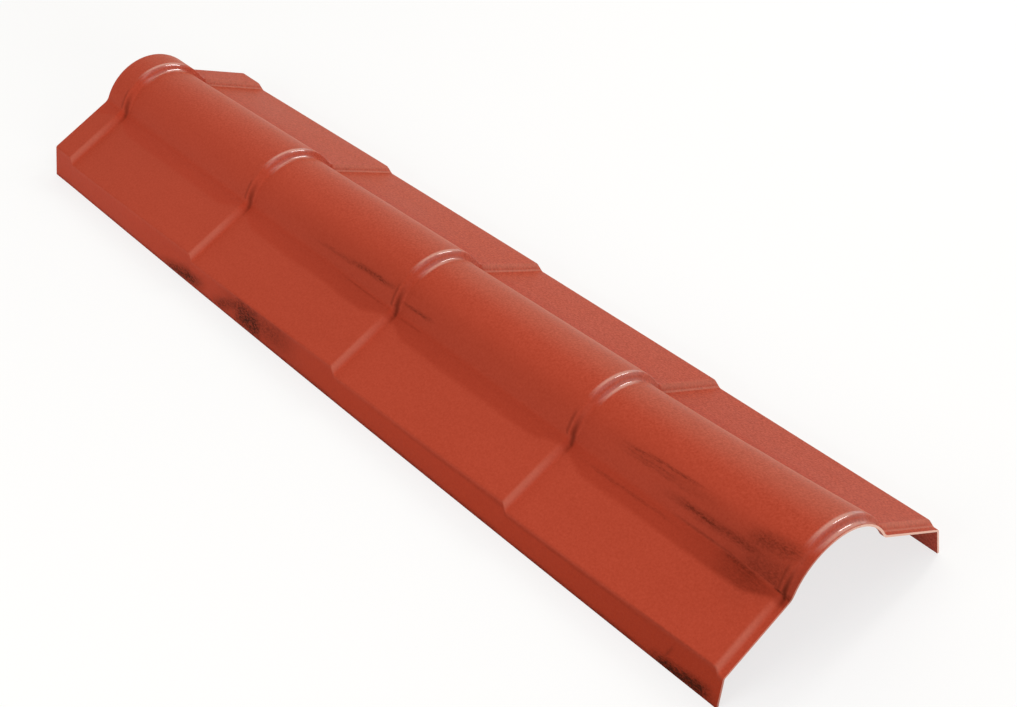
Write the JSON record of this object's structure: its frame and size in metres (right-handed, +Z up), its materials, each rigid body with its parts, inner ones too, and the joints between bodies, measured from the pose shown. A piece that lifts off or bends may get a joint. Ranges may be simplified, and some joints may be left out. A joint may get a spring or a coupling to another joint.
{
  "type": "roof ridge cap",
  "caption": "Moulded plastic roof ridge cap: a half-round barrel between two sloping wings with turned-down lips, stepped along its length like lapped tiles and flared at one end, to cover a roof's ridge.",
  "frame": {"origin": "under the middle of the cap, level with the lower edges of its lips", "axes": "+X along the ridge, the way each step drops, to the flared end; +Y across the cap; +Z up, from the lips' edges to the top of the barrel"},
  "size_m": [1, 0.25, 0.1013],
  "materials": {
    "terracotta_plastic": "satin moulded roofing plastic, terracotta red, coloured right through"
  },
  "bodies": {
    "root": {"ridge_cap": "terracotta_plastic"}
  },
  "joints": []
}
